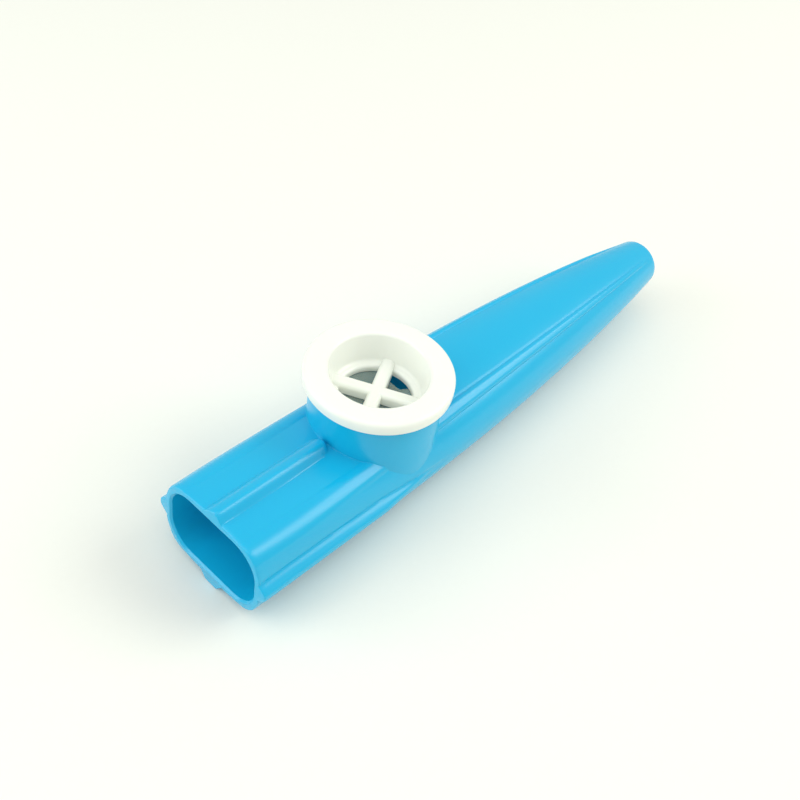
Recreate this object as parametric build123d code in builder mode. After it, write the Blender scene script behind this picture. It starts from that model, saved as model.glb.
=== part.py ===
from build123d import *
import os

# A small plastic kazoo standing on its flat bottom fin, mouth end towards -X, turret upwards.
# All sizes are in millimetres. The origin is on the floor, under the middle of the kazoo.

# Tube: the hollow body, widest near the mouth and drawn in to a small round end
length = 120.0
mouth_width = 23.5
mouth_height = 16.6
tip_diameter = 9.9
tip_round = 0.4
wall = 1.55
tip_wall = 1.55
tip_bore_depth = 8.0
rim_round = 0.3

# Corners of the breath way, as shares of its half height at the mouth and at the tip
mouth_corner_share = 0.75
tip_corner_share = 0.98

# Stations along the tube, and how far each has grown from the small end's size to the mouth's
station_shares = (0.0, 0.2, 0.4, 0.6, 0.8, 1.0)
width_shares = (1.0, 1.015, 0.994, 0.816, 0.488, 0.0)
height_shares = (1.0, 1.03, 1.12, 1.04, 0.725, 0.0)

# Shoulder beads: each crease as shares of a station's half width and half height, and the bead's rise
# as a share of the distance between its creases; the beads grow out of plain rounded shoulders
top_crease_width_shares = (0.566, 0.569, 0.572, 0.574, 0.577, 0.58)
top_crease_height_shares = (0.945, 0.919, 0.893, 0.867, 0.841, 0.815)
side_crease_width_shares = (0.885, 0.858, 0.77, 0.736, 0.718, 0.70)
side_crease_height_shares = (0.686, 0.69, 0.688, 0.696, 0.705, 0.714)
bead_rise_shares = (0.15, 0.175, 0.24, 0.26, 0.26, 0.26)

# Fins: four low ribs that run back from the mouth; the kazoo stands on the bottom one's flat edge
fin_root = 0.9
fade_length = 16.0
top_fin_height = 1.6
top_fin_base = 6.0
top_fin_tip = 2.0
top_fin_round = 0.5
top_fin_gap = 1.3
side_fin_height = 1.25
side_fin_base = 5.5
side_fin_tip = 1.2
side_fin_round = 0.6
side_fin_past_turret = 8.0
side_fin_sink = 1.5
bottom_fin_height = 1.6
bottom_fin_base = 6.4
bottom_fin_tip = 2.8
bottom_fin_round = 0.3
bottom_fin_past_turret = 52.0
bottom_fin_sink = 2.4

# Turret: the round collar that takes the film and the cap, a little narrower than the tube's mouth
turret_from_mouth = 35.6
turret_inset = 0.25
turret_wall = 1.6
turret_rim_above_axis = 16.0
turret_edge_round = 0.3
seat_width = 1.7

# Cap: a flanged plug with a funnel, a ledge and two crossed bars
flange_overhang = 1.4
flange_thickness = 2.4
flange_top_round = 0.8
flange_bottom_round = 0.4
cap_depth = 4.4
cap_clearance = 0.05
cap_lead_in = 0.4
funnel_wall = 1.15
funnel_narrowing = 1.1
funnel_lip_round = 0.5
funnel_foot_round = 0.6
ledge_thickness = 1.4
ledge_width = 1.4
bar_width = 2.5
bar_height = 2.4
bar_round = 0.9
bar_angles = (30.0, 120.0)

# Film: a loose disc clamped between the turret's seat and the cap, with a flared notch in one side
film_thickness = 0.15
film_clearance = 0.25
notch_floor_from_axis = 4.8
notch_floor_width = 2.5
notch_rim_width = 9.0

# How far cuts run past the faces they open
overrun = 2.0

# Places that follow from the sizes
mouth_x = -length / 2
tip_x = length / 2
tip_bore_x = tip_x - tip_bore_depth
tip_bore_radius = tip_diameter / 2 - tip_wall
axis_z = mouth_height / 2 + bottom_fin_height
turret_x = mouth_x + turret_from_mouth
turret_radius = mouth_width / 2 - turret_inset
turret_bore_radius = turret_radius - turret_wall
turret_rim_z = axis_z + turret_rim_above_axis
cap_floor_z = turret_rim_z - cap_depth
cap_top_z = turret_rim_z + flange_thickness
ledge_z = cap_floor_z + ledge_thickness
plug_radius = turret_bore_radius - cap_clearance
flange_radius = turret_radius + flange_overhang
funnel_mouth_radius = plug_radius - funnel_wall
funnel_foot_radius = funnel_mouth_radius - funnel_narrowing
cap_hole_radius = funnel_foot_radius - ledge_width
seat_z = cap_floor_z - film_thickness
seat_bore_radius = turret_bore_radius - seat_width
side_fin_end_x = turret_x + side_fin_past_turret
bottom_fin_end_x = turret_x + bottom_fin_past_turret
top_fin_end_x = turret_x - turret_radius - top_fin_gap - top_fin_tip / 2
turret_axis = Axis((turret_x, 0, 0), (0, 0, 1))


def cross_plane(x, turn=0):
    """Plane across the tube at x, with its own y pointing up, or turned by degrees about the tube."""
    return Plane(origin=(x, 0, axis_z), x_dir=Vector(0, 1, 0).rotate(Axis.X, turn), z_dir=(1, 0, 0))


def turret_plane(z):
    """Level plane at height z, centred on the turret's axis."""
    return Plane(origin=(turret_x, 0, z))


def between(start, end, share):
    """Value at a share of the way from start to end."""
    return start + (end - start) * share


def half_sizes(station):
    """Half width and half height of the tube at a station."""
    half_width = between(tip_diameter, mouth_width, width_shares[station]) / 2
    half_height = between(tip_diameter, mouth_height, height_shares[station]) / 2
    return half_width, half_height


def crease_point(crease_width_shares, crease_height_shares, station):
    """Point of a bead's crease in the upper +Y quarter of a station's outline."""
    half_width, half_height = half_sizes(station)
    return Vector(half_width * crease_width_shares[station], half_height * crease_height_shares[station])


def tube_outline(station):
    """Outer outline at a station: domed top and bottom, rounded sides, a bead on every shoulder."""
    half_width, half_height = half_sizes(station)
    top = crease_point(top_crease_width_shares, top_crease_height_shares, station)
    side = crease_point(side_crease_width_shares, side_crease_height_shares, station)
    chord = side - top
    crown = (top + side) / 2 + Vector(-chord.Y, chord.X) * bead_rise_shares[station]
    with BuildSketch() as outline:
        with BuildLine():
            for up in (1, -1):
                ThreePointArc((-top.X, up * top.Y), (0, up * half_height), (top.X, up * top.Y))
            for out in (1, -1):
                ThreePointArc((out * side.X, side.Y), (out * half_width, 0), (out * side.X, -side.Y))
                for up in (1, -1):
                    bead_start = (out * top.X, up * top.Y)
                    bead_middle = (out * crown.X, up * crown.Y)
                    bead_end = (out * side.X, up * side.Y)
                    ThreePointArc(bead_start, bead_middle, bead_end)
        make_face()
    return outline.sketch


def fin_profile(surface, height, base, tip, edge_round):
    """Trapezoid of a fin, standing up from its buried root, with a softened tip."""
    root = surface - fin_root
    top = surface + height
    with BuildSketch() as profile:
        with BuildLine():
            Polyline((-base / 2, root), (base / 2, root), (tip / 2, top), (-tip / 2, top), close=True)
        make_face()
        fillet(profile.vertices().group_by(Axis.Y)[-1], edge_round)
    return profile.sketch


top_fin = fin_profile(mouth_height / 2, top_fin_height, top_fin_base, top_fin_tip, top_fin_round)
side_fin = fin_profile(mouth_width / 2, side_fin_height, side_fin_base, side_fin_tip, side_fin_round)
bottom_fin = fin_profile(
    mouth_height / 2, bottom_fin_height, bottom_fin_base, bottom_fin_tip, bottom_fin_round
)

# Body: tube, beads, fins and turret in one moulding
with BuildPart() as body:
    for station, along in enumerate(station_shares):
        with BuildSketch(cross_plane(between(mouth_x, tip_x, along))):
            add(tube_outline(station))
    loft()
    fillet(body.faces().sort_by(Axis.X)[-1].edges(), tip_round)

    # Side and bottom fins, which fade into the tube beyond the turret
    for turn, profile, end_x, sink in (
        (90, side_fin, side_fin_end_x, side_fin_sink),
        (-90, side_fin, side_fin_end_x, side_fin_sink),
        (180, bottom_fin, bottom_fin_end_x, bottom_fin_sink),
    ):
        for x, drop in ((mouth_x, 0), (end_x - fade_length, 0), (end_x, sink)):
            with BuildSketch(cross_plane(x, turn)):
                with Locations((0, -drop)):
                    add(profile)
        loft(ruled=True)

    # Top fin, which ends in a round just short of the turret
    with BuildSketch(cross_plane(mouth_x)):
        add(top_fin)
    extrude(amount=top_fin_end_x - mouth_x)
    with BuildSketch(cross_plane(top_fin_end_x)):
        add(top_fin)
        split(bisect_by=Plane.YZ)
    revolve(axis=Axis((top_fin_end_x, 0, 0), (0, 0, -1)), revolution_arc=180)

    # Turret
    with BuildSketch(turret_plane(axis_z)):
        Circle(turret_radius)
    extrude(amount=turret_rim_above_axis)

    # Breath way: a hollow that follows the tube, and a round bore at the small end
    for station, along in enumerate(station_shares[:-1]):
        half_width, half_height = half_sizes(station)
        reach_out = half_width - wall
        reach_up = half_height - wall
        corner = reach_up * between(mouth_corner_share, tip_corner_share, along)
        with BuildSketch(cross_plane(between(mouth_x, tip_x, along))):
            RectangleRounded(reach_out * 2, reach_up * 2, corner)
    with BuildSketch(cross_plane(tip_bore_x)):
        RectangleRounded(tip_bore_radius * 2, tip_bore_radius * 2, tip_bore_radius * tip_corner_share)
    loft(mode=Mode.SUBTRACT)
    with BuildSketch(cross_plane(tip_bore_x)):
        Circle(tip_bore_radius)
    extrude(amount=tip_bore_depth + overrun, mode=Mode.SUBTRACT)

    # Stepped bore of the turret: the cap's socket, the film's seat, and the way down to the tube
    with BuildSketch(turret_plane(seat_z)):
        Circle(turret_bore_radius)
    extrude(amount=turret_rim_z - seat_z + overrun, mode=Mode.SUBTRACT)
    with BuildSketch(turret_plane(axis_z)):
        Circle(seat_bore_radius)
    extrude(amount=seat_z - axis_z + overrun, mode=Mode.SUBTRACT)
    fillet(body.faces().sort_by(Axis.Z)[-1].edges(), turret_edge_round)
    fillet(body.faces().sort_by(Axis.X)[0].inner_wires()[0].edges(), rim_round)
    fillet(body.faces().sort_by(Axis.X)[-1].inner_wires()[0].edges(), rim_round)

# Grille: two crossed bars with rounded tops, whose ends are buried in the cap's wall
bar_reach = (funnel_foot_radius + plug_radius) / 2
with BuildPart() as bars:
    with BuildSketch(turret_plane(cap_floor_z)):
        for angle in bar_angles:
            Rectangle(bar_reach * 2, bar_width, rotation=angle)
    extrude(amount=bar_height)
    fillet(bars.faces().sort_by(Axis.Z)[-1].edges(), bar_round)

# Cap: a turned plug with a flange, a funnel and a ledge, crossed by the bars
with BuildPart() as cap:
    with BuildSketch(Plane(origin=(turret_x, 0, 0), x_dir=(1, 0, 0), z_dir=(0, -1, 0))):
        with BuildLine() as cap_outline:
            Polyline(
                (cap_hole_radius, cap_floor_z),
                (plug_radius - cap_lead_in, cap_floor_z),
                (plug_radius, cap_floor_z + cap_lead_in),
                (plug_radius, turret_rim_z),
                (flange_radius, turret_rim_z),
                (flange_radius, cap_top_z),
                (funnel_mouth_radius, cap_top_z),
                (funnel_foot_radius, ledge_z),
                (cap_hole_radius, ledge_z),
                close=True,
            )
            rim_corners = cap_outline.vertices().group_by(Axis.X)[-1].sort_by(Axis.Y)
            lip_corner = cap_outline.vertices().group_by(Axis.Y)[-1].sort_by(Axis.X)[0]
            foot_corner = cap_outline.vertices().group_by(Axis.Y)[-3].sort_by(Axis.X)[-1]
            fillet(rim_corners[0], flange_bottom_round)
            fillet(rim_corners[1], flange_top_round)
            fillet(lip_corner, funnel_lip_round)
            fillet(foot_corner, funnel_foot_round)
        make_face()
    revolve(axis=turret_axis)
    add(bars.part)

# Film: a thin disc on the turret's seat, open at the notch
with BuildPart() as film:
    with BuildSketch(turret_plane(seat_z)):
        Circle(turret_bore_radius - film_clearance)
        with BuildLine():
            Polyline(
                (notch_floor_from_axis, -notch_floor_width / 2),
                (turret_bore_radius, -notch_rim_width / 2),
                (turret_bore_radius, notch_rim_width / 2),
                (notch_floor_from_axis, notch_floor_width / 2),
                close=True,
            )
        make_face(mode=Mode.SUBTRACT)
    extrude(amount=film_thickness)

os.makedirs("parts", exist_ok=True)
for name, piece in (("body", body), ("cap", cap), ("film", film)):
    piece.part.label = name
    export_step(piece.part, f"parts/{name}.step")
    print(name, round(piece.part.volume, 1), piece.part.bounding_box())
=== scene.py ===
import logging
import math
from collections.abc import Callable, Iterable, Sequence
from dataclasses import dataclass
from enum import Enum

import bmesh
import bpy
from mathutils import Matrix, Vector


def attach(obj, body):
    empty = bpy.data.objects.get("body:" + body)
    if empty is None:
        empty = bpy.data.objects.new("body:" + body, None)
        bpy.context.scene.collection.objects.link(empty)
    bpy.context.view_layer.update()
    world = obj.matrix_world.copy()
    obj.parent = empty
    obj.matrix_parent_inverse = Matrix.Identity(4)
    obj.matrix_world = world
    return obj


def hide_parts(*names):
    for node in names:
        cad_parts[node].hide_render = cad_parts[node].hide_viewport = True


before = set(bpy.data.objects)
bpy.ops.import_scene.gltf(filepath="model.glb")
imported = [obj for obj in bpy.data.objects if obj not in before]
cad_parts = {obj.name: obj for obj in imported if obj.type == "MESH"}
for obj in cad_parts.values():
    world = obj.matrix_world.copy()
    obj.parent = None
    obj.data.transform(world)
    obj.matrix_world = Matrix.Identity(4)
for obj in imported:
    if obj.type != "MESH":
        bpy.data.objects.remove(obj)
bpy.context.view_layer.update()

LOG = logging.getLogger("kazoo")

# Shapes are worked out in millimetres, in the part's own frame, and made metres when a mesh is finished.
MM = 0.001

# In millimetres: points closer than WELD are one, faces thinner than SLIVER go, a corner is found again within
# NEAR of where it was drawn, and a cut takes points within SNAP of its plane as lying on it.
WELD = 0.001
SLIVER = 0.002
NEAR = 0.01
SNAP = 0.0001

Point = tuple[float, float]
Point3 = tuple[float, float, float]
Paint = tuple[float, float, float, float]


class Side(Enum):
    """The four sides of the tube that carry a fin, each with its outward and sideways directions (y, z)."""

    TOP = ((0.0, 1.0), (1.0, 0.0))
    BOTTOM = ((0.0, -1.0), (1.0, 0.0))
    LEFT = ((1.0, 0.0), (0.0, 1.0))
    RIGHT = ((-1.0, 0.0), (0.0, 1.0))


class Cut(Enum):
    """What a Boolean does with its tool."""

    JOIN = "UNION"
    REMOVE = "DIFFERENCE"


def linear(hex_colour: str) -> Paint:
    """Turns an sRGB colour into linear light.

    Args:
        hex_colour: six hexadecimal digits.

    Returns:
        The colour as linear red, green and blue, with a full alpha.
    """
    channels = []
    for start in (0, 2, 4):
        value = int(hex_colour[start:start + 2], 16) / 255
        channels.append(value / 12.92 if value <= 0.04045 else ((value + 0.055) / 1.055) ** 2.4)
    return (*channels, 1.0)


def add_node(
    tree: bpy.types.NodeTree, kind: str, inputs: dict | None = None, **settings: object,
) -> bpy.types.Node:
    """Adds a shader node.

    Args:
        tree: the material's node tree.
        kind: the node's type.
        inputs: for each socket's name or number, a value or the output that feeds it.
        settings: the node's own properties.

    Returns:
        The new node.
    """
    made = tree.nodes.new(kind)
    for name, value in settings.items():
        setattr(made, name, value)
    for socket, value in (inputs or {}).items():
        if isinstance(value, bpy.types.NodeSocket):
            tree.links.new(value, made.inputs[socket])
        else:
            made.inputs[socket].default_value = value
    return made


def per_metre(size_mm: float) -> float:
    """Scale of a noise whose features are about size_mm apart."""
    return 1 / (size_mm * MM)


def blank_material(name: str) -> tuple[bpy.types.Material, bpy.types.NodeTree]:
    """Makes an empty node material.

    Args:
        name: the material's name.

    Returns:
        The material and its node tree.
    """
    made = bpy.data.materials.new(name)
    made.use_nodes = True
    made.node_tree.nodes.clear()
    return made, made.node_tree


@dataclass(frozen=True)
class MouldedPlastic:
    """Plastic injected into a polished mould: a deep even colour under a glossy skin.

    The eye sees soft, slightly wavy reflections, a faint drift of the pigment, and broad patches where
    fingers have rubbed the gloss.
    """

    name: str
    colour: str
    drift: str
    drift_mm: float
    ripple_mm: float
    ripple_depth: float
    rub_mm: float
    polished: float
    rubbed: float
    ior: float
    glow: float
    glow_mm: Point3
    octaves: float = 3.0
    flow_roughness: float = 0.55
    rub_limits: Point = (0.42, 0.78)
    ripple_octaves: float = 2.0

    def material(self) -> bpy.types.Material:
        """Builds the node material.

        Returns:
            The finished material.
        """
        made, tree = blank_material(self.name)
        place = add_node(tree, "ShaderNodeTexCoord").outputs["Object"]
        flow = add_node(tree, "ShaderNodeTexNoise", {
            "Vector": place, "Scale": per_metre(self.drift_mm), "Detail": self.octaves,
            "Roughness": self.flow_roughness,
        })
        pigment = add_node(tree, "ShaderNodeMix", {
            "Factor": flow.outputs["Fac"], "A": linear(self.colour), "B": linear(self.drift),
        }, data_type="RGBA")
        rubs = add_node(tree, "ShaderNodeTexNoise", {
            "Vector": place, "Scale": per_metre(self.rub_mm), "Detail": self.octaves,
        })
        gloss = add_node(tree, "ShaderNodeMapRange", {
            "Value": rubs.outputs["Fac"], "From Min": self.rub_limits[0], "From Max": self.rub_limits[1],
            "To Min": self.polished, "To Max": self.rubbed,
        })
        ripple = add_node(tree, "ShaderNodeTexNoise", {
            "Vector": place, "Scale": per_metre(self.ripple_mm), "Detail": self.ripple_octaves,
        })
        skin = add_node(tree, "ShaderNodeBump", {
            "Height": ripple.outputs["Fac"], "Strength": 1.0, "Distance": self.ripple_depth * MM,
        })
        shader = add_node(tree, "ShaderNodeBsdfPrincipled", {
            "Base Color": pigment.outputs["Result"],
            "Roughness": gloss.outputs["Result"],
            "Normal": skin.outputs["Normal"],
            "IOR": self.ior,
            "Subsurface Weight": self.glow,
            "Subsurface Radius": tuple(reach * MM for reach in self.glow_mm),
            "Subsurface Scale": 1.0,
        })
        add_node(tree, "ShaderNodeOutputMaterial", {"Surface": shader.outputs["BSDF"]})
        return made


@dataclass(frozen=True)
class StretchedFilm:
    """Thin milky plastic film: it lets some of the dark below through, and its creases catch the light. Its
    grey-green colour is partly painted shade.
    """

    name: str
    colour: str
    cloud: str
    cloud_mm: float
    crease_mm: float
    crease_depth: float
    roughness: float
    ior: float
    cover: float
    cloud_octaves: float = 4.0
    crease_octaves: float = 3.0
    crease_twist: float = 0.6

    def material(self) -> bpy.types.Material:
        """Builds the node material.

        Returns:
            The finished material.
        """
        made, tree = blank_material(self.name)
        place = add_node(tree, "ShaderNodeTexCoord").outputs["Object"]
        clouds = add_node(tree, "ShaderNodeTexNoise", {
            "Vector": place, "Scale": per_metre(self.cloud_mm), "Detail": self.cloud_octaves,
        })
        # The film's colour mixed with its cloud: partly its own milky tint, partly painted shade of the well it
        # lies in.
        milk_and_painted_shade = add_node(tree, "ShaderNodeMix", {
            "Factor": clouds.outputs["Fac"], "A": linear(self.colour), "B": linear(self.cloud),
        }, data_type="RGBA")
        creases = add_node(tree, "ShaderNodeTexNoise", {
            "Vector": place, "Scale": per_metre(self.crease_mm), "Detail": self.crease_octaves,
            "Distortion": self.crease_twist,
        })
        folds = add_node(tree, "ShaderNodeBump", {
            "Height": creases.outputs["Fac"], "Strength": 1.0, "Distance": self.crease_depth * MM,
        })
        shader = add_node(tree, "ShaderNodeBsdfPrincipled", {
            "Base Color": milk_and_painted_shade.outputs["Result"],
            "Roughness": self.roughness,
            "Normal": folds.outputs["Normal"],
            "IOR": self.ior,
            "Alpha": self.cover,
        })
        add_node(tree, "ShaderNodeOutputMaterial", {"Surface": shader.outputs["BSDF"]})
        return made


@dataclass(frozen=True)
class PaperSweep:
    """Matt paper of a photographer's sweep: pale, even, with a barely visible tooth."""

    name: str
    colour: str
    shade: str
    tooth_mm: float
    roughness: float
    octaves: float = 2.0

    def material(self) -> bpy.types.Material:
        """Builds the node material.

        Returns:
            The finished material.
        """
        made, tree = blank_material(self.name)
        place = add_node(tree, "ShaderNodeTexCoord").outputs["Object"]
        tooth = add_node(tree, "ShaderNodeTexNoise", {
            "Vector": place, "Scale": per_metre(self.tooth_mm), "Detail": self.octaves,
        })
        paper = add_node(tree, "ShaderNodeMix", {
            "Factor": tooth.outputs["Fac"], "A": linear(self.colour), "B": linear(self.shade),
        }, data_type="RGBA")
        shader = add_node(tree, "ShaderNodeBsdfPrincipled", {
            "Base Color": paper.outputs["Result"], "Roughness": self.roughness,
        })
        add_node(tree, "ShaderNodeOutputMaterial", {"Surface": shader.outputs["BSDF"]})
        return made


BODY_FINISH = MouldedPlastic(
    name="moulded_polystyrene_blue", colour="10B4E2", drift="0CB0DF", drift_mm=22.0, ripple_mm=6.0,
    ripple_depth=0.006, rub_mm=9.0, polished=0.24, rubbed=0.268, ior=1.53, glow=0.08,
    glow_mm=(0.4, 0.9, 1.4),
)
CAP_FINISH = MouldedPlastic(
    name="moulded_polystyrene_white", colour="F3F5EE", drift="F0F2EB", drift_mm=14.0, ripple_mm=5.0,
    ripple_depth=0.006, rub_mm=7.0, polished=0.235, rubbed=0.265, ior=1.55, glow=0.15,
    glow_mm=(1.2, 1.1, 0.9),
)
# The film's grey-green colour and cloud are partly its own milky tint and partly painted shade, darkened to the
# look of the film lying in the shade of the well.
FILM_FINISH = StretchedFilm(
    name="milky_polyethylene_film", colour="BAC8B8", cloud="A4B4A6", cloud_mm=3.0, crease_mm=1.6,
    crease_depth=0.12, roughness=0.38, ior=1.51, cover=0.32,
)
FLOOR_FINISH = PaperSweep(
    name="matt_paper_sweep", colour="F2F1EB", shade="F0EFE9", tooth_mm=1.2, roughness=0.9,
)


def lagrange(knots: Sequence[float], values: Sequence[float], at: float) -> float:
    """Reads a smooth curve that passes through all its knots.

    Args:
        knots: places of the known values.
        values: the known values.
        at: the place to read.

    Returns:
        The curve's value there.
    """
    total = 0.0
    for knot, value in zip(knots, values):
        weight = 1.0
        for other in knots:
            if other != knot:
                weight *= (at - other) / (knot - other)
        total += weight * value
    return total


def between(start: float, end: float, share: float) -> float:
    """Value at a share of the way from start to end."""
    return start + (end - start) * share


def ease(share: float) -> float:
    """Goes from 0 to 1 with level ends, and stays there outside."""
    held = min(max(share, 0.0), 1.0)
    return held * held * (3 - 2 * held)


def soft_max(first: float, second: float, reach: float) -> float:
    """Larger of two heights, with the corner between them filled over a reach."""
    near = max(reach - abs(first - second), 0.0)
    return max(first, second) + near * near / (4 * reach)


def soft_min(first: float, second: float, reach: float) -> float:
    """Smaller of two heights, with the corner between them rounded off over a reach."""
    return -soft_max(-first, -second, reach)


def steps(count: int) -> list[float]:
    """Shares from 0 to 1 in count equal steps, with the last one left out."""
    return [index / count for index in range(count)]


def round_steps(count: int) -> list[float]:
    """Angles round a quarter turn in count equal steps, in radians, with both ends."""
    return [math.radians(90 * index / count) for index in range(count + 1)]


def whole(quarter: Sequence[Vector], half_width: float) -> list[Vector]:
    """Mirrors an upper +Y quarter of an outline into the whole outline.

    Args:
        quarter: points from the top's middle to just above the side's middle, as (y, z).
        half_width: how far the side's middle lies from the axis.

    Returns:
        The points of the whole outline, in order.
    """
    right = [*quarter, Vector((half_width, 0.0)), *(Vector((p.x, -p.y)) for p in reversed(quarter))]
    return right + [Vector((-p.x, p.y)) for p in reversed(right[1:-1])]


def lathe(mesh: bmesh.types.BMesh, profile: Iterable[Point], centre: Vector, turns: int) -> None:
    """Turns a closed profile round an upright axis.

    Args:
        mesh: the mesh that takes the shape.
        profile: radius and height of each corner, in order.
        centre: a point on the axis.
        turns: how many steps the full turn has.
    """
    corners = [mesh.verts.new((centre.x + radius, centre.y, height)) for radius, height in profile]
    edges = [mesh.edges.new((a, b)) for a, b in zip(corners, corners[1:] + corners[:1])]
    bmesh.ops.spin(
        mesh, geom=corners + edges, cent=centre, axis=(0, 0, 1), angle=math.tau, steps=turns, use_merge=True,
    )
    bmesh.ops.remove_doubles(mesh, verts=mesh.verts, dist=WELD)
    bmesh.ops.recalc_face_normals(mesh, faces=mesh.faces)


def stack_rings(mesh: bmesh.types.BMesh, rings: Sequence[Sequence[Vector]]) -> None:
    """Skins a stack of rings into a closed solid with flat ends.

    Args:
        mesh: the mesh that takes the shape.
        rings: points of each ring, the same number in each.
    """
    first = bmesh.ops.create_circle(mesh, cap_ends=False, segments=len(rings[0]), radius=1.0)["verts"]
    edges = list(dict.fromkeys(edge for vert in first for edge in vert.link_edges))
    loop = list(first)
    for vert, point in zip(loop, rings[0]):
        vert.co = point
    bmesh.ops.contextual_create(mesh, geom=edges)
    for ring in rings[1:]:
        made = bmesh.ops.extrude_edge_only(mesh, edges=edges)["geom"]
        fresh = {vert for vert in made if isinstance(vert, bmesh.types.BMVert)}
        edges = [edge for edge in made if isinstance(edge, bmesh.types.BMEdge) and set(edge.verts) <= fresh]
        loop = [
            next(edge.other_vert(vert) for edge in vert.link_edges if edge.other_vert(vert) in fresh)
            for vert in loop
        ]
        for vert, point in zip(loop, ring):
            vert.co = point
    bmesh.ops.contextual_create(mesh, geom=edges)
    bmesh.ops.recalc_face_normals(mesh, faces=mesh.faces)


def solid(name: str, shape: Callable[[bmesh.types.BMesh], None]) -> bpy.types.Object:
    """Makes an object from a function that shapes a mesh.

    Args:
        name: the object's name.
        shape: fills an empty bmesh, in millimetres.

    Returns:
        The new object, in metres.
    """
    mesh = bmesh.new()
    shape(mesh)
    bmesh.ops.scale(mesh, vec=(MM, MM, MM), verts=mesh.verts)
    data = bpy.data.meshes.new(name)
    mesh.to_mesh(data)
    mesh.free()
    made = bpy.data.objects.new(name, data)
    bpy.context.scene.collection.objects.link(made)
    return made


def clean(mesh: bmesh.types.BMesh, sliver: float) -> None:
    """Merges points that lie together, takes out faces without area and turns the rest outwards.

    Args:
        mesh: the mesh that is changed.
        sliver: the distance under which points are one, in the mesh's own unit.
    """
    bmesh.ops.remove_doubles(mesh, verts=mesh.verts, dist=sliver)
    bmesh.ops.dissolve_degenerate(mesh, edges=mesh.edges, dist=sliver)
    bmesh.ops.recalc_face_normals(mesh, faces=mesh.faces)


def combine(base: bpy.types.Object, tools: Sequence[tuple[bpy.types.Object, Cut]]) -> None:
    """Joins solids to a base or cuts them out of it, and takes the tools away.

    Args:
        base: the object that is changed.
        tools: each tool with what it does, in order.
    """
    for tool, cut in tools:
        step = base.modifiers.new(tool.name, "BOOLEAN")
        step.operation = cut.value
        step.solver = "MANIFOLD"
        step.object = tool
    graph = bpy.context.evaluated_depsgraph_get()
    data = bpy.data.meshes.new_from_object(base.evaluated_get(graph))
    old = base.data
    base.modifiers.clear()
    base.data = data
    bpy.data.meshes.remove(old)
    for tool, _ in tools:
        bpy.data.meshes.remove(tool.data)


def smooth(piece: bpy.types.Object, sharp_angle: float) -> None:
    """Shades a piece smooth, but for edges sharper than an angle in degrees."""
    piece.data.shade_smooth()
    piece.data.set_sharp_from_angle(angle=math.radians(sharp_angle))


def settle(piece: bpy.types.Object, node: str, material: bpy.types.Material) -> None:
    """Puts a finished piece in the place of a CAD node, on its body, with its material.

    Args:
        piece: the finished object.
        node: the CAD node, which shares its body's name.
        material: the finish.
    """
    piece.data.materials.clear()
    piece.data.materials.append(material)
    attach(piece, node)
    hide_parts(node)
    LOG.info("%s: %d faces, %s", piece.name, len(piece.data.polygons), material.name)


@dataclass
class Fin:
    """One low rib on a side of the tube, in millimetres."""

    side: Side
    height: float
    base: float
    tip: float
    rounding: float
    end_x: float
    fade: float = 0.0
    sink: float = 0.0
    tilt: float = 0.0
    nose: float = 0.0
    nose_slope: float = 3.0
    fillet: float = 0.3
    crease: float = 0.0
    crease_reach: float = 0.5
    root: float = 0.9
    cliff: float = 20.0

    def level(self, surface: float, across: float, x: float) -> float:
        """Height of the rib's skin above the tube's axis.

        Args:
            surface: the tube's reach at the mouth on this side.
            across: distance sideways from the rib's middle.
            x: place along the tube.

        Returns:
            The height, which may lie under the tube's skin.
        """
        top = surface + self.height
        slope = (self.height + self.root) / (self.base - self.tip) * 2
        crest = top - self.tilt * (across + self.tip / 2)
        far_flank = top - self.tilt * self.tip - (across - self.tip / 2) * slope
        skin = soft_min(crest, far_flank, self.rounding)
        skin = soft_min(skin, top + (across + self.tip / 2) * slope, self.rounding)
        past = x - self.end_x
        if self.nose and past > 0:
            nose = top - (math.hypot(across, past) - self.nose) * self.nose_slope
            skin = soft_min(skin, nose, self.rounding)
        skin -= max(abs(across) - self.base / 2, 0.0) * self.cliff
        if self.fade and past > -self.fade:
            skin -= self.sink * (past / self.fade + 1)
        return skin

    def raised(self, surface: float, level: float, across: float, x: float) -> float:
        """Raises the tube's skin to the rib's, with a fillet and a faint crease at the root.

        Args:
            surface: the tube's reach at the mouth on this side.
            level: the tube's own height at this point.
            across: distance sideways from the rib's middle.
            x: place along the tube.

        Returns:
            The height with the rib on it.
        """
        skin = self.level(surface, across, x)
        near = max(1 - ((level - skin) / self.crease_reach) ** 2, 0.0)
        return soft_max(level, skin, self.fillet) - self.crease * near ** 2


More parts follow.
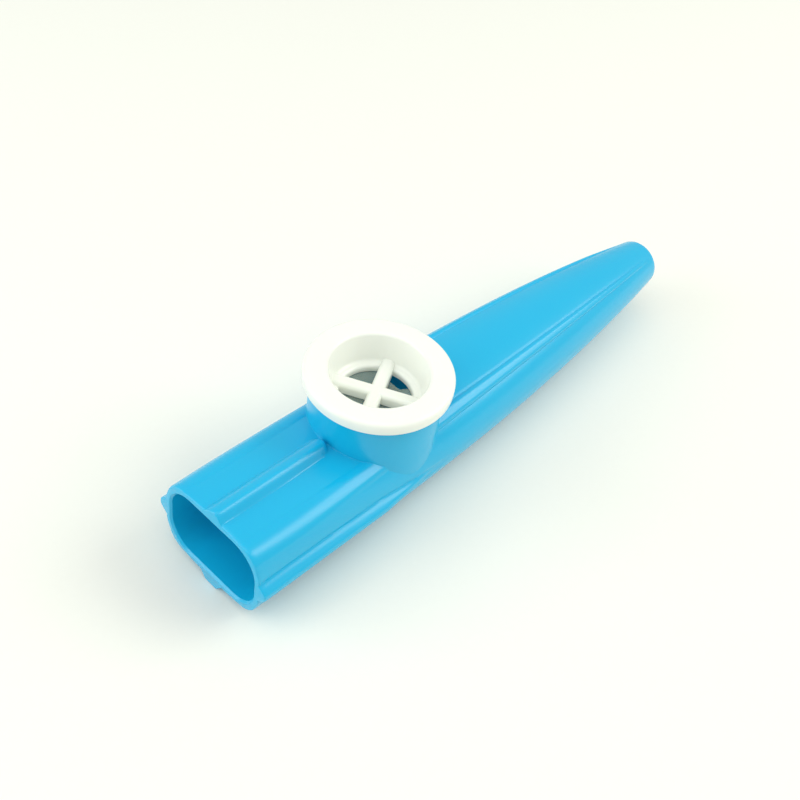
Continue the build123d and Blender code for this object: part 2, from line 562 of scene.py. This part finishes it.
@dataclass
class Body:
    """The blue moulding: tube, shoulder beads, fins, breath way and turret, in millimetres."""

    mouth_x: float = -60.0
    tip_x: float = 60.0
    axis_z: float = 9.9
    mouth_width: float = 23.5
    mouth_height: float = 16.6
    tip_diameter: float = 9.9
    tip_round: float = 0.7
    mouth_round: float = 0.3
    wall: float = 1.55
    tip_bore_radius: float = 3.4
    tip_bore_x: float = 52.0
    rim_round: float = 0.35
    corner_shares: Point = (0.75, 0.98)

    # Shares of the length, and how far the tube's half sizes have grown there from the tip's to the mouth's
    station_shares: tuple[float, ...] = (0.0, 0.2, 0.4, 0.6, 0.8, 1.0)
    width_shares: tuple[float, ...] = (1.0, 1.015, 0.994, 0.816, 0.488, 0.0)
    height_shares: tuple[float, ...] = (1.0, 1.03, 1.12, 1.04, 0.725, 0.0)

    # Each bead lies between two creases, given as shares of the half width (out) and the half height (up)
    upper_crease_out: tuple[float, ...] = (0.566, 0.569, 0.572, 0.574, 0.577, 0.58)
    upper_crease_up: tuple[float, ...] = (0.945, 0.919, 0.893, 0.867, 0.841, 0.815)
    lower_crease_out: tuple[float, ...] = (0.885, 0.858, 0.77, 0.736, 0.718, 0.70)
    lower_crease_up: tuple[float, ...] = (0.686, 0.69, 0.688, 0.696, 0.705, 0.714)
    bead_rises: tuple[float, ...] = (0.15, 0.175, 0.24, 0.26, 0.26, 0.26)
    bead_fullness: Point = (2.0, 3.6)
    bead_end: float = 0.86
    bead_tip_share: float = 0.1
    groove_depth: float = 0.04
    groove_reach: float = 0.5
    groove_start: float = 0.45

    # The turret, whose bore takes the film and the cap
    turret_x: float = -24.4
    turret_radius: float = 11.5
    turret_rim_z: float = 25.9
    turret_round: float = 0.3
    turret_fillet: float = 0.08
    fillet_angles: tuple[float, ...] = (0.0, 20.0, 40.0, 60.0, 75.0, 90.0)
    foot_sink: float = 0.03
    socket_radius: float = 9.9
    seat_z: float = 21.35
    seat_bore_radius: float = 8.2
    overrun: float = 2.0

    # How finely the shapes are stepped
    dome_steps: int = 44
    bead_steps: int = 24
    side_steps: int = 36
    hollow_steps: tuple[int, int, int] = (8, 12, 4)
    edge_steps: int = 3
    rim_steps: int = 4
    ring_gap: float = 0.8
    nose_gap: float = 0.15
    hollow_gap: float = 2.0
    turret_steps: int = 160
    sharp_angle: float = 32.0

    def __post_init__(self) -> None:
        """Sets out the four fins."""
        flat_reach, side_reach = self.mouth_height / 2, self.mouth_width / 2
        side = {
            "height": 1.25, "base": 5.5, "tip": 1.2, "rounding": 0.3, "end_x": -16.4, "fade": 16.0, "sink": 1.5,
            "fillet": 0.06, "crease": 0.14,
        }
        self.fins = (
            (flat_reach, Fin(
                Side.TOP, height=1.6, base=6.0, tip=2.0, rounding=0.9, end_x=-38.2, tilt=0.3, nose=1.6,
                fillet=0.1,
            )),
            (flat_reach, Fin(
                Side.BOTTOM, height=1.6, base=6.4, tip=2.8, rounding=0.2, end_x=27.6, fade=16.0, sink=2.4,
            )),
            (side_reach, Fin(Side.LEFT, **side)),
            (side_reach, Fin(Side.RIGHT, **side)),
        )

    def share(self, x: float) -> float:
        """Share of the tube's length at x, from the mouth."""
        return (x - self.mouth_x) / (self.tip_x - self.mouth_x)

    def at(self, shares: Sequence[float], share: float) -> float:
        """Reads one of the tables that follow the stations, at a share of the tube's length."""
        return lagrange(self.station_shares, shares, share)

    def half_sizes(self, share: float) -> Point:
        """Sizes the tube at one place.

        Args:
            share: place along the tube.

        Returns:
            Half the width and half the height there.
        """
        grown = (self.at(shares, share) for shares in (self.width_shares, self.height_shares))
        sizes = (self.mouth_width, self.mouth_height)
        return tuple(between(self.tip_diameter, size, part) / 2 for size, part in zip(sizes, grown))

    def creases(self, share: float) -> tuple[Vector, Vector]:
        """Places the two creases of the bead on the +Y shoulder.

        Args:
            share: place along the tube.

        Returns:
            The upper and the lower crease about the axis, as (y, z).
        """
        half_width, half_height = self.half_sizes(share)
        upper, lower = (
            Vector((half_width * self.at(out, share), half_height * self.at(up, share)))
            for out, up in (
                (self.upper_crease_out, self.upper_crease_up), (self.lower_crease_out, self.lower_crease_up),
            )
        )
        return upper, lower

    def quarter(self, share: float) -> list[Vector]:
        """Outline of the tube's upper +Y quarter, from the top's middle to just above the side's middle.

        Args:
            share: place along the tube.

        Returns:
            Points about the axis, as (y, z).
        """
        half_width, half_height = self.half_sizes(share)
        upper, lower = self.creases(share)
        points = []
        sag = half_height - upper.y
        dome = (upper.x ** 2 + sag ** 2) / (2 * sag)
        spread = math.asin(upper.x / dome)
        for step in steps(self.dome_steps):
            turn = spread * step
            points.append(Vector((dome * math.sin(turn), half_height - dome + dome * math.cos(turn))))
        chord = lower - upper
        out = Vector((-chord.y, chord.x))
        fading = 1 - ease((share - self.bead_end) / (1 - self.bead_end))
        rise = self.at(self.bead_rises, share) * between(self.bead_tip_share, 1.0, fading)
        fullness = between(*self.bead_fullness, ease(share / self.groove_start))
        for step in steps(self.bead_steps):
            points.append(upper + chord * step + out * rise * (1 - abs(2 * step - 1) ** fullness))
        sag = half_width - lower.x
        bulge = (lower.y ** 2 + sag ** 2) / (2 * sag)
        spread = math.asin(lower.y / bulge)
        for step in steps(self.side_steps):
            turn = spread * (1 - step)
            points.append(Vector((half_width - bulge + bulge * math.cos(turn), bulge * math.sin(turn))))
        depth = self.groove_depth * ease(share / self.groove_start) * fading
        for point in points:
            point.y -= depth * max(1 - ((point - upper).length / self.groove_reach) ** 2, 0.0) ** 2
        return points

    def outline(self, x: float) -> list[Vector]:
        """Full outline of the tube at x, without fins, as (y, z) points about the axis."""
        share = self.share(x)
        return whole(self.quarter(share), self.half_sizes(share)[0])

    def finned(self, x: float) -> list[Vector]:
        """Outline of the tube with the fins raised on it.

        Args:
            x: place along the tube.

        Returns:
            Points about the axis, as (y, z).
        """
        points = self.outline(x)
        for reach, fin in self.fins:
            out, aside = (Vector(direction) for direction in fin.side.value)
            for index, point in enumerate(points):
                level = point.dot(out)
                if level > 0:
                    raised = fin.raised(reach, level, point.dot(aside), x)
                    points[index] = point + out * (raised - level)
        return points

    def ring(self, x: float, inset: float = 0.0, at: float | None = None) -> list[Vector]:
        """One ring of the outer skin.

        Args:
            x: place along the tube whose outline is used.
            inset: how far the ring is drawn in towards the axis.
            at: where the ring stands, if not at x.

        Returns:
            Points in the part's frame.
        """
        place = x if at is None else at
        drawn = (point * (1 - inset / point.length) for point in self.finned(x))
        return [Vector((place, point.x, self.axis_z + point.y)) for point in drawn]

    def skin(self, mesh: bmesh.types.BMesh) -> None:
        """Fills a mesh with the outer skin of the tube, its edges rounded at both ends.

        Args:
            mesh: the empty mesh that takes the shape.
        """
        start, end = self.mouth_x + self.mouth_round, self.tip_x - self.tip_round
        rings = []
        for turn in reversed(round_steps(self.edge_steps)[1:]):
            inset = self.mouth_round * (1 - math.cos(turn))
            rings.append(self.ring(start, inset, self.mouth_x + self.mouth_round * (1 - math.sin(turn))))
        top_fin = self.fins[0][1]
        nose_start, nose_end = top_fin.end_x, top_fin.end_x + top_fin.nose + 2 * self.ring_gap
        for first, last, gap in (
            (start, nose_start, self.ring_gap),
            (nose_start, nose_end, self.nose_gap),
            (nose_end, end, self.ring_gap),
        ):
            rings += [self.ring(between(first, last, step)) for step in steps(round((last - first) / gap))]
        rings.append(self.ring(end))
        for turn in round_steps(self.rim_steps)[1:]:
            x = end + self.tip_round * math.sin(turn)
            rings.append(self.ring(x, self.tip_round * (1 - math.cos(turn))))
        stack_rings(mesh, rings)

    def hollow(self, mesh: bmesh.types.BMesh) -> None:
        """Fills a mesh with the breath way, flared where it opens at both ends.

        Args:
            mesh: the empty mesh that takes the shape.
        """
        knots = (*self.station_shares[:-1], self.share(self.tip_bore_x))
        sizes = [[], []]
        for share in self.station_shares[:-1]:
            for row, half in zip(sizes, self.half_sizes(share)):
                row.append(half - self.wall)
        for row in sizes:
            row.append(self.tip_bore_radius)

        def ring(x: float, grow: float) -> list[Vector]:
            """One ring of the breath way.

            Args:
                x: where the ring stands.
                grow: how far it is grown outwards.

            Returns:
                Points in the part's frame.
            """
            share = min(max(self.share(x), 0.0), knots[-1])
            out, up = (lagrange(knots, row, share) for row in sizes)
            corner = up * between(*self.corner_shares, share) if share < knots[-1] else self.tip_bore_radius
            out, up, corner = out + grow, up + grow, corner + grow
            top_steps, corner_steps, side_steps = self.hollow_steps
            quarter = [Vector(((out - corner) * step, up)) for step in steps(top_steps)]
            for step in steps(corner_steps):
                turn = math.pi / 2 * (1 - step)
                quarter.append(Vector((
                    out - corner + corner * math.cos(turn), up - corner + corner * math.sin(turn),
                )))
            quarter += [Vector((out, (up - corner) * (1 - step))) for step in steps(side_steps)]
            return [Vector((x, p.x, self.axis_z + p.y)) for p in whole(quarter, out)]

        rings = [ring(self.mouth_x - self.overrun, self.rim_round)]
        for turn in round_steps(self.rim_steps):
            x = self.mouth_x + self.rim_round * math.sin(turn)
            rings.append(ring(x, self.rim_round * (1 - math.sin(turn))))
        start, end = self.mouth_x + self.rim_round, self.tip_bore_x
        count = round((end - start) / self.hollow_gap)
        rings += [ring(between(start, end, step), 0.0) for step in steps(count)[1:]] + [ring(end, 0.0)]
        for turn in round_steps(self.edge_steps):
            x = self.tip_x - self.rim_round * (1 - math.sin(turn))
            rings.append(ring(x, self.rim_round * (1 - math.cos(turn))))
        rings.append(ring(self.tip_x + self.overrun, self.rim_round))
        stack_rings(mesh, rings)

    def top_level(self, x: float, y: float) -> float:
        """Height of the tube's upper skin at a point, from the part's floor.

        Args:
            x: place along the tube.
            y: place across it.

        Returns:
            The height, or the axis's height beyond the tube's side.
        """
        share = self.share(x)
        points = self.quarter(share) + [Vector((self.half_sizes(share)[0], 0.0))]
        off = abs(y)
        level = 0.0
        for near, far in zip(points, points[1:]):
            if near.x <= off <= far.x and far.x > near.x:
                level = between(near.y, far.y, (off - near.x) / (far.x - near.x))
        return self.axis_z + level

    def turret(self, mesh: bmesh.types.BMesh) -> None:
        """Fills a mesh with the solid turret, whose foot spreads in a small fillet onto the tube.

        Args:
            mesh: the empty mesh that takes the shape.
        """
        angles = [math.tau * step for step in steps(self.turret_steps)]

        def ring(radius: float, height: Callable[[float, float], float]) -> list[Vector]:
            """Ring of the turret, with its height given at each point."""
            places = [(self.turret_x + radius * math.cos(a), radius * math.sin(a)) for a in angles]
            return [Vector((x, y, height(x, y))) for x, y in places]

        rings = []
        for turn in reversed(round_steps(self.edge_steps)):
            drop = self.turret_round * (1 - math.sin(turn))
            inset = self.turret_round * (1 - math.cos(turn))
            rings.append(ring(self.turret_radius - inset, lambda x, y, drop=drop: self.turret_rim_z - drop))
        fillet = self.turret_fillet
        for angle in self.fillet_angles:
            turn = math.radians(angle)
            lift = fillet * (1 - math.sin(turn)) - (self.foot_sink if angle == self.fillet_angles[-1] else 0.0)
            radius = self.turret_radius + fillet * (1 - math.cos(turn))
            rings.append(ring(radius, lambda x, y, lift=lift: self.top_level(x, y) + lift))
        rings.append(ring(self.turret_radius - self.wall / 2, lambda x, y: self.axis_z))
        stack_rings(mesh, rings)

    def bore(self, mesh: bmesh.types.BMesh) -> None:
        """Fills a mesh with the stepped bore of the turret: the cap's socket above the film's seat.

        Args:
            mesh: the empty mesh that takes the shape.
        """
        rim = self.turret_rim_z
        flare = [
            (self.socket_radius + self.turret_round * (1 - math.cos(turn)),
             rim - self.turret_round * (1 - math.sin(turn)))
            for turn in round_steps(self.edge_steps)
        ]
        profile = [
            (0.0, self.axis_z), (self.seat_bore_radius, self.axis_z), (self.seat_bore_radius, self.seat_z),
            (self.socket_radius, self.seat_z), *flare,
            (self.socket_radius + self.turret_round, rim + self.overrun), (0.0, rim + self.overrun),
        ]
        lathe(mesh, profile, Vector((self.turret_x, 0.0, 0.0)), self.turret_steps)

    def build(self) -> bpy.types.Object:
        """Makes the body.

        Returns:
            The finished object.
        """
        piece = solid("body_moulding", self.skin)
        combine(piece, (
            (solid("turret", self.turret), Cut.JOIN),
            (solid("breath_way", self.hollow), Cut.REMOVE),
            (solid("turret_bore", self.bore), Cut.REMOVE),
        ))
        smooth(piece, self.sharp_angle)
        return piece

    def dress(self, piece: bpy.types.Object) -> None:
        """Gives the body its finish and its place."""
        settle(piece, "body", BODY_FINISH.material())


@dataclass
class Cap:
    """The white push-in cap: flange, plug, funnel, ledge and crossed bars, in millimetres."""

    axis_x: float = -24.4
    floor_z: float = 21.5
    rim_z: float = 25.9
    top_z: float = 28.3
    ledge_z: float = 22.9
    plug_radius: float = 9.85
    lead_in: float = 0.4
    flange_radius: float = 12.9
    flange_top_round: float = 0.8
    flange_bottom_round: float = 0.4
    funnel_mouth_radius: float = 8.7
    funnel_foot_radius: float = 7.6
    funnel_lip_round: float = 0.5
    funnel_foot_round: float = 0.6
    hole_radius: float = 6.35
    ledge_round: float = 1.1
    foot_round: float = 0.1
    bar_width: float = 2.5
    bar_height: float = 2.15
    bar_round: float = 0.9
    bar_angles: Point = (28.2, 118.2)
    turns: int = 160
    edge_steps: int = 5
    bar_steps: int = 8
    sharp_angle: float = 35.0

    def ring(self, mesh: bmesh.types.BMesh) -> None:
        """Fills a mesh with the turned part of the cap, its edges rounded.

        Args:
            mesh: the empty mesh that takes the shape.
        """
        corners = {
            "hole_foot": (self.hole_radius, self.floor_z, self.foot_round),
            "plug_foot": (self.plug_radius - self.lead_in, self.floor_z, self.foot_round),
            "plug_start": (self.plug_radius, self.floor_z + self.lead_in, self.foot_round),
            "under_flange": (self.plug_radius, self.rim_z, 0.0),
            "flange_bottom": (self.flange_radius, self.rim_z, self.flange_bottom_round),
            "flange_top": (self.flange_radius, self.top_z, self.flange_top_round),
            "funnel_lip": (self.funnel_mouth_radius, self.top_z, self.funnel_lip_round),
            "funnel_foot": (self.funnel_foot_radius, self.ledge_z, self.funnel_foot_round),
            "ledge_edge": (self.hole_radius, self.ledge_z, self.ledge_round),
        }
        centre = Vector((self.axis_x, 0.0, 0.0))
        lathe(mesh, [(radius, height) for radius, height, _ in corners.values()], centre, self.turns)
        for radius, height, rounding in corners.values():
            if rounding:
                edges = [
                    edge for edge in mesh.edges
                    if all(
                        abs(vert.co.z - height) < NEAR
                        and abs(math.hypot(vert.co.x - centre.x, vert.co.y) - radius) < NEAR
                        for vert in edge.verts
                    )
                ]
                bmesh.ops.bevel(
                    mesh, geom=edges, offset=rounding, offset_type="OFFSET", segments=self.edge_steps,
                    profile=0.5, affect="EDGES", material=-1, clamp_overlap=True,
                )
        clean(mesh, SLIVER)

    def bar(self, angle: float) -> Callable[[bmesh.types.BMesh], None]:
        """Prepares one bar of the grille.

        Args:
            angle: the bar's turn about the cap's axis, in degrees.

        Returns:
            A function that fills a mesh with the bar.
        """
        def shape(mesh: bmesh.types.BMesh) -> None:
            """Fills a mesh with a bar with a rounded top, its ends inside the cap's wall.

            Args:
                mesh: the empty mesh that takes the shape.
            """
            length = self.funnel_foot_radius + self.plug_radius
            bmesh.ops.create_cube(mesh, size=1.0)
            bmesh.ops.scale(mesh, vec=(length, self.bar_width, self.bar_height), verts=mesh.verts)
            top = [
                edge for edge in mesh.edges
                if all(vert.co.z > 0 for vert in edge.verts)
                and abs(edge.verts[0].co.x - edge.verts[1].co.x) > self.bar_width
            ]
            bmesh.ops.bevel(
                mesh, geom=top, offset=self.bar_round, offset_type="OFFSET", segments=self.bar_steps,
                profile=0.5, affect="EDGES", material=-1, clamp_overlap=True,
            )
            turn = Matrix.Rotation(math.radians(angle), 3, "Z")
            bmesh.ops.rotate(mesh, cent=(0, 0, 0), matrix=turn, verts=mesh.verts)
            lift = self.floor_z + self.bar_height / 2
            bmesh.ops.translate(mesh, vec=(self.axis_x, 0.0, lift), verts=mesh.verts)
        return shape

    def build(self) -> bpy.types.Object:
        """Makes the cap.

        Returns:
            The finished object.
        """
        piece = solid("grille_cap", self.ring)
        combine(piece, [(solid(f"bar_{angle:.0f}", self.bar(angle)), Cut.JOIN) for angle in self.bar_angles])
        smooth(piece, self.sharp_angle)
        return piece

    def dress(self, piece: bpy.types.Object) -> None:
        """Gives the cap its finish and its place."""
        settle(piece, "cap", CAP_FINISH.material())


@dataclass
class Film:
    """The buzzing film: a loose thin disc with a notch, in millimetres."""

    axis_x: float = -24.4
    seat_z: float = 21.35
    radius: float = 9.65
    thickness: float = 0.06
    lift: float = 0.05
    notch_floor: float = 4.8
    notch_floor_width: float = 2.5
    notch_rim: float = 9.9
    notch_rim_width: float = 9.0
    sag: float = 0.35
    free_radius: float = 6.6

    # The slack's share of the sag, the creases' share, and the waves they are made of: height, turn per
    # millimetre along x and y, and start
    slack: float = 0.55
    creasing: float = 0.21
    waves: tuple[tuple[float, float, float, float], ...] = (
        (1.0, 1.9, 0.7, 0.0), (0.7, -1.1, 2.6, 1.3), (0.4, 3.7, 3.1, 0.4),
    )

    # How finely the sheet is stepped, and how far from the notch its faces are cut
    rings: int = 36
    turns: int = 144
    cut_margin: float = 1.0
    sharp_angle: float = 60.0

    def in_notch(self, point: Vector) -> bool:
        """Tells whether a point lies in the notch.

        Args:
            point: a point about the film's middle.

        Returns:
            True if the film is cut away there.
        """
        share = (point.x - self.notch_floor) / (self.notch_rim - self.notch_floor)
        half = between(self.notch_floor_width, self.notch_rim_width, share) / 2
        return share > 0 and abs(point.y) < half

    def dip(self, point: Vector) -> float:
        """How far the film hangs below its flat rim, from its slack and its creases.

        Args:
            point: a point about the film's middle.

        Returns:
            The depth there.
        """
        free = max(1 - (math.hypot(point.x, point.y) / self.free_radius) ** 2, 0.0)
        wave = sum(
            height * math.sin(point.x * along + point.y * across + start)
            for height, along, across, start in self.waves
        )
        return self.sag * free * (self.slack + self.creasing * wave)

    def shape(self, mesh: bmesh.types.BMesh) -> None:
        """Fills a mesh with the film's sheet, notched and slightly slack.

        Args:
            mesh: the empty mesh that takes the shape.
        """
        rim = bmesh.ops.create_circle(mesh, cap_ends=False, segments=self.turns, radius=self.radius)["verts"]
        edges = list(dict.fromkeys(edge for vert in rim for edge in vert.link_edges))
        for index in range(self.rings, 0, -1):
            made = bmesh.ops.extrude_edge_only(mesh, edges=edges)["geom"]
            fresh = [vert for vert in made if isinstance(vert, bmesh.types.BMVert)]
            inner = set(fresh)
            edges = [edge for edge in made if isinstance(edge, bmesh.types.BMEdge) and set(edge.verts) <= inner]
            share = (index - 1) / index
            bmesh.ops.scale(mesh, vec=(share, share, 1.0), verts=fresh)
        bmesh.ops.remove_doubles(mesh, verts=mesh.verts, dist=WELD)
        half_floor, half_rim = self.notch_floor_width / 2, self.notch_rim_width / 2
        run = self.notch_rim - self.notch_floor
        cuts = [(Vector((self.notch_floor, 0.0, 0.0)), Vector((1.0, 0.0, 0.0)))]
        for way in (1, -1):
            corner = Vector((self.notch_floor, way * half_floor, 0.0))
            cuts.append((corner, Vector((half_floor - half_rim, way * run, 0.0)).normalized()))
        start = self.notch_floor - self.cut_margin
        for place, across in cuts:
            near = [face for face in mesh.faces if face.calc_center_median().x > start]
            touched = dict.fromkeys(part for face in near for part in (*face.edges, *face.verts))
            bmesh.ops.bisect_plane(mesh, geom=[*near, *touched], plane_co=place, plane_no=across, dist=SNAP)
        gone = [face for face in mesh.faces if self.in_notch(face.calc_center_median())]
        bmesh.ops.delete(mesh, geom=gone, context="FACES")
        level = self.seat_z + self.lift
        for vert in mesh.verts:
            vert.co = Vector((self.axis_x + vert.co.x, vert.co.y, level - self.dip(vert.co)))
        bmesh.ops.recalc_face_normals(mesh, faces=mesh.faces)

    def build(self) -> bpy.types.Object:
        """Makes the film.

        Returns:
            The finished object.
        """
        piece = solid("buzzing_film", self.shape)
        wall = piece.modifiers.new("film_thickness", "SOLIDIFY")
        wall.thickness = self.thickness * MM
        wall.offset = 1.0
        smooth(piece, self.sharp_angle)
        return piece

    def dress(self, piece: bpy.types.Object) -> None:
        """Gives the film its finish and its place.

        Args:
            piece: the finished object.
        """
        settle(piece, "film", FILM_FINISH.material())


@dataclass(frozen=True)
class Softbox:
    """A soft square lamp that faces the origin: place and side in millimetres, power in watts, sRGB colour."""

    name: str
    place: Point3
    side: float
    power: float
    colour: str

    def hang(self) -> None:
        """Hangs the lamp in the scene."""
        data = bpy.data.lights.new(self.name, "AREA")
        data.shape = "SQUARE"
        data.size = self.side * MM
        data.energy = self.power
        data.color = linear(self.colour)[:3]
        lamp = bpy.data.objects.new(self.name, data)
        bpy.context.scene.collection.objects.link(lamp)
        place = Vector(self.place)
        facing = (Vector() - place).to_track_quat("-Z", "Y")
        lamp.matrix_world = Matrix.Translation(place * MM) @ facing.to_matrix().to_4x4()


# The window draws the bright line along each bead; the other two only fill the shadows.
LAMPS = (
    Softbox("window_softbox", (408.0, -350.0, 480.0), side=460.0, power=2.3, colour="FFFFF6"),
    Softbox("ceiling_softbox", (-200.0, 0.0, 640.0), side=640.0, power=1.35, colour="FBFFFC"),
    Softbox("front_softbox", (-480.0, 300.0, 240.0), side=400.0, power=1.3, colour="FBFFFC"),
)


@dataclass
class Studio:
    """Floor, soft light and camera, in millimetres."""

    floor_half: float = 1500.0
    floor_segments: int = 2
    eye: Point3 = (-128.09, -81.64, 154.83)
    ahead: Point3 = (0.5673, 0.4180, -0.7096)
    right: Point3 = (0.6878, -0.7143, 0.1291)
    lens: float = 49.53
    sensor: float = 36.0
    nearest: float = 5.0
    sky: str = "FBFFFA"
    sky_strength: float = 0.61

    def floor(self) -> None:
        """Lays the pale floor under the kazoo."""
        count = self.floor_segments
        piece = solid(
            "studio_floor",
            lambda mesh: bmesh.ops.create_grid(mesh, x_segments=count, y_segments=count, size=self.floor_half),
        )
        piece.data.materials.append(FLOOR_FINISH.material())

    def camera(self) -> None:
        """Stands the camera where the photograph was taken."""
        ahead, right = Vector(self.ahead).normalized(), Vector(self.right).normalized()
        up = right.cross(ahead)
        data = bpy.data.cameras.new("photo_camera")
        data.lens = self.lens
        data.sensor_width = self.sensor
        data.clip_start = self.nearest * MM
        eye = bpy.data.objects.new("photo_camera", data)
        bpy.context.scene.collection.objects.link(eye)
        turn = Matrix((right, up, -ahead)).transposed().to_4x4()
        eye.matrix_world = Matrix.Translation(Vector(self.eye) * MM) @ turn
        bpy.context.scene.camera = eye

    def light(self) -> None:
        """Lights the set with a pale sky and large soft lamps."""
        world = bpy.data.worlds.new("pale_room")
        world.use_nodes = True
        sky = world.node_tree.nodes["Background"]
        sky.inputs["Color"].default_value = linear(self.sky)
        sky.inputs["Strength"].default_value = self.sky_strength
        bpy.context.scene.world = world
        for lamp in LAMPS:
            lamp.hang()

    def build(self) -> None:
        """Sets up the studio."""
        self.floor()
        self.camera()
        self.light()
        bpy.context.scene.view_settings.view_transform = "Standard"


def main() -> None:
    """Sets up the studio, then builds and dresses each piece of the kazoo."""
    logging.basicConfig(level=logging.INFO, format="%(name)s: %(message)s")
    Studio().build()
    for assembly in (Body(), Cap(), Film()):
        assembly.dress(assembly.build())


if __name__ == "__main__":
    main()
